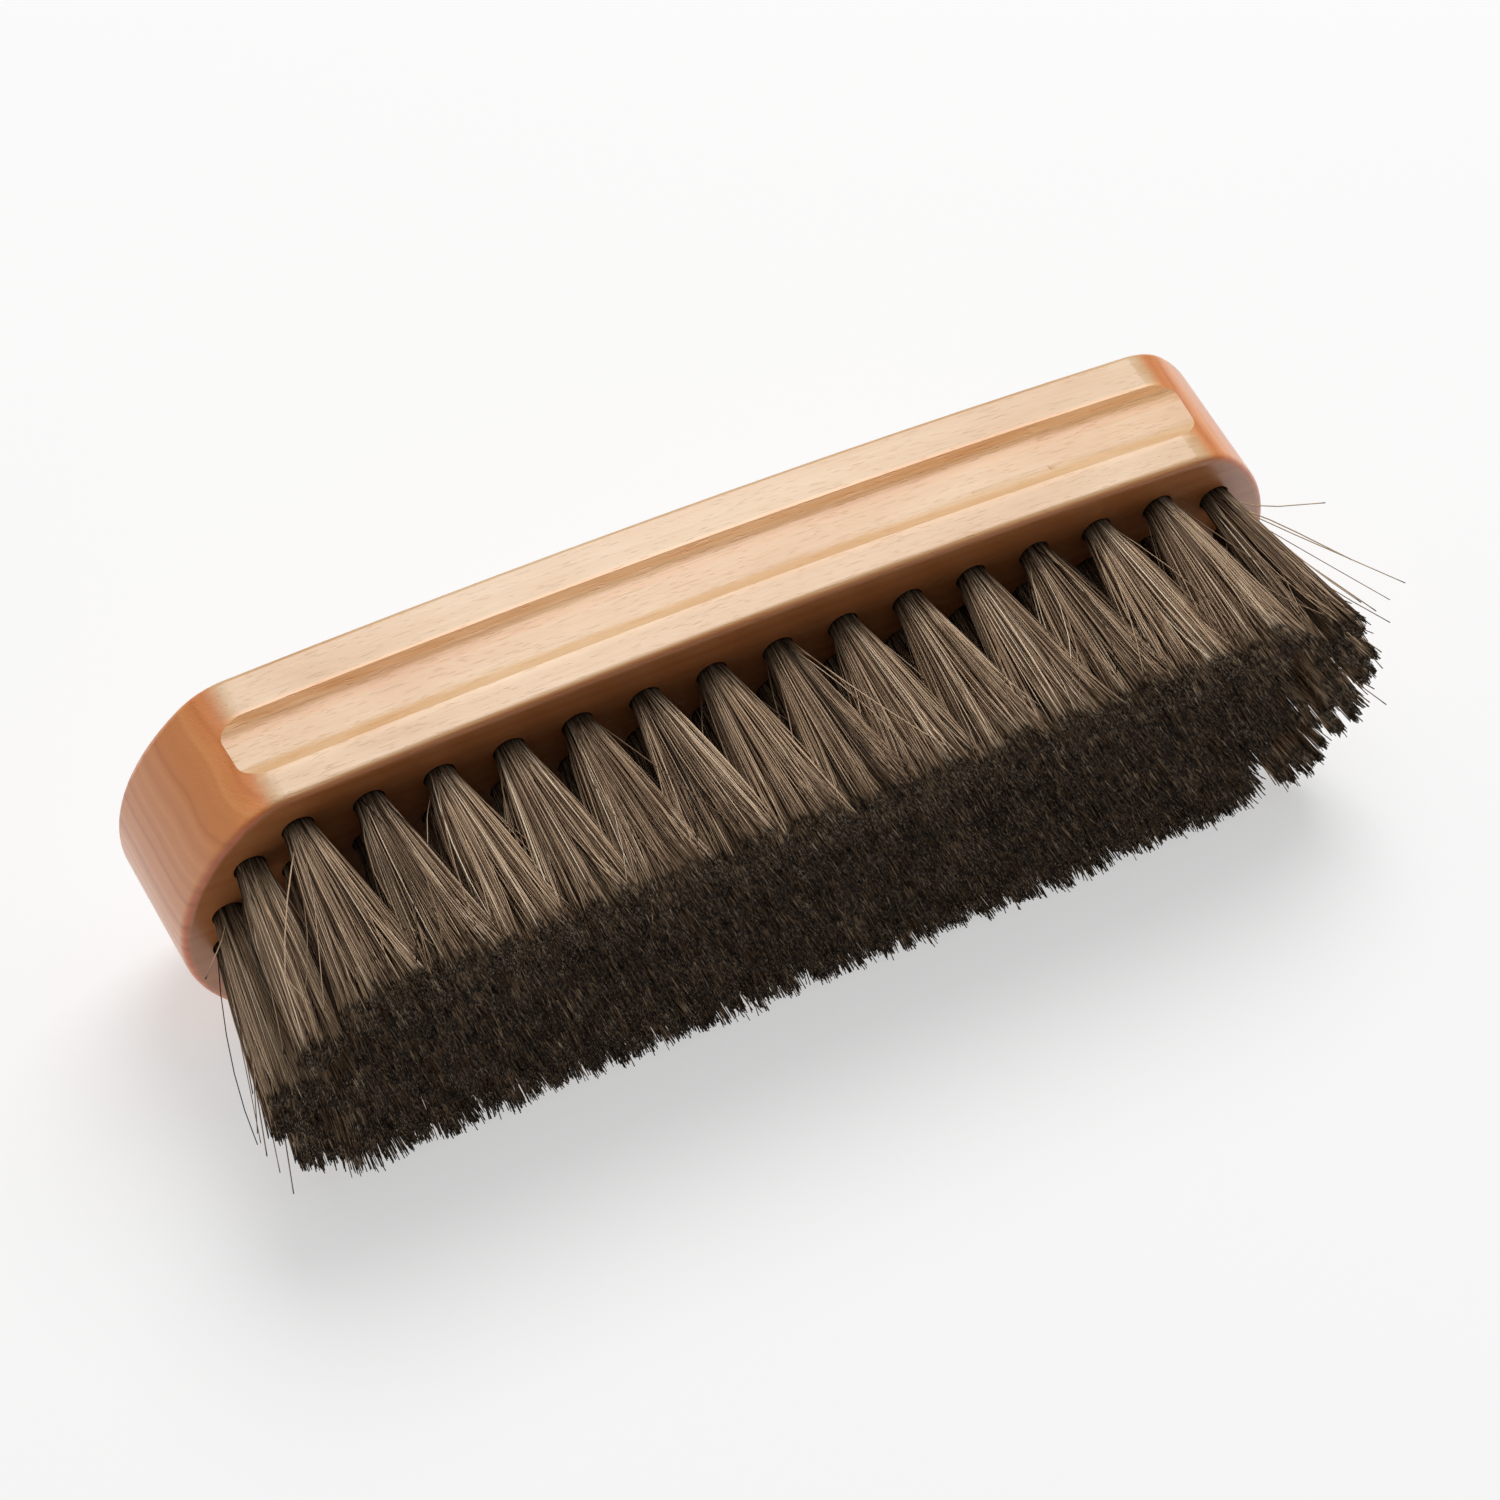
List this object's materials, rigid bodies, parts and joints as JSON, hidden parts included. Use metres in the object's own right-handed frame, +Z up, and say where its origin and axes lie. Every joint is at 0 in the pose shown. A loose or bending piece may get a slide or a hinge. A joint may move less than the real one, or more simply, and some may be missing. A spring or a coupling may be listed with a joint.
{
  "type": "wooden block brush",
  "caption": "Hand brush with a solid hardwood block, finger grooves along both sides and anchored tufts of soft natural hair; lies on its side.",
  "frame": {"origin": "on the surface the brush lies on, under the centre of its overall box", "axes": "+Z up; +X along the block, to the end with the evenly spaced end holes; -Y the way the hair points, tipped slightly down so that the block's lower edge and the lower tips both rest"},
  "size_m": [0.168, 0.0566, 0.0551],
  "materials": {
    "wood": "clear satin lacquer over beech",
    "horsehair": "natural hair, greige outside and near black where it is cut",
    "anchor_steel": "bare rolled strip"
  },
  "bodies": {
    "root": {"block": "wood", "upper_row_tuft_01": "horsehair", "upper_row_tuft_02": "horsehair", "upper_row_tuft_03": "horsehair", "upper_row_tuft_04": "horsehair", "upper_row_tuft_05": "horsehair", "upper_row_tuft_06": "horsehair", "upper_row_tuft_07": "horsehair", "upper_row_tuft_08": "horsehair", "upper_row_tuft_09": "horsehair", "upper_row_tuft_10": "horsehair", "upper_row_tuft_11": "horsehair", "upper_row_tuft_12": "horsehair", "upper_row_tuft_13": "horsehair", "upper_row_tuft_14": "horsehair", "lower_row_tuft_01": "horsehair", "lower_row_tuft_02": "horsehair", "lower_row_tuft_03": "horsehair", "lower_row_tuft_04": "horsehair", "lower_row_tuft_05": "horsehair", "lower_row_tuft_06": "horsehair", "lower_row_tuft_07": "horsehair", "lower_row_tuft_08": "horsehair", "lower_row_tuft_09": "horsehair", "lower_row_tuft_10": "horsehair", "lower_row_tuft_11": "horsehair", "lower_row_tuft_12": "horsehair", "lower_row_tuft_13": "horsehair", "lower_row_tuft_14": "horsehair", "upper_inner_row_tufts": "horsehair", "middle_row_tufts": "horsehair", "lower_inner_row_tufts": "horsehair", "left_end_tuft_1": "horsehair", "left_end_tuft_2": "horsehair", "left_end_tuft_3": "horsehair", "left_end_tuft_4": "horsehair", "right_end_tuft_1": "horsehair", "right_end_tuft_2": "horsehair", "right_end_tuft_3": "horsehair", "right_end_tuft_4": "horsehair", "upper_row_anchors": "anchor_steel", "lower_row_anchors": "anchor_steel", "upper_inner_row_anchors": "anchor_steel", "middle_row_anchors": "anchor_steel", "lower_inner_row_anchors": "anchor_steel", "left_end_anchors": "anchor_steel", "right_end_anchors": "anchor_steel"}
  },
  "joints": []
}
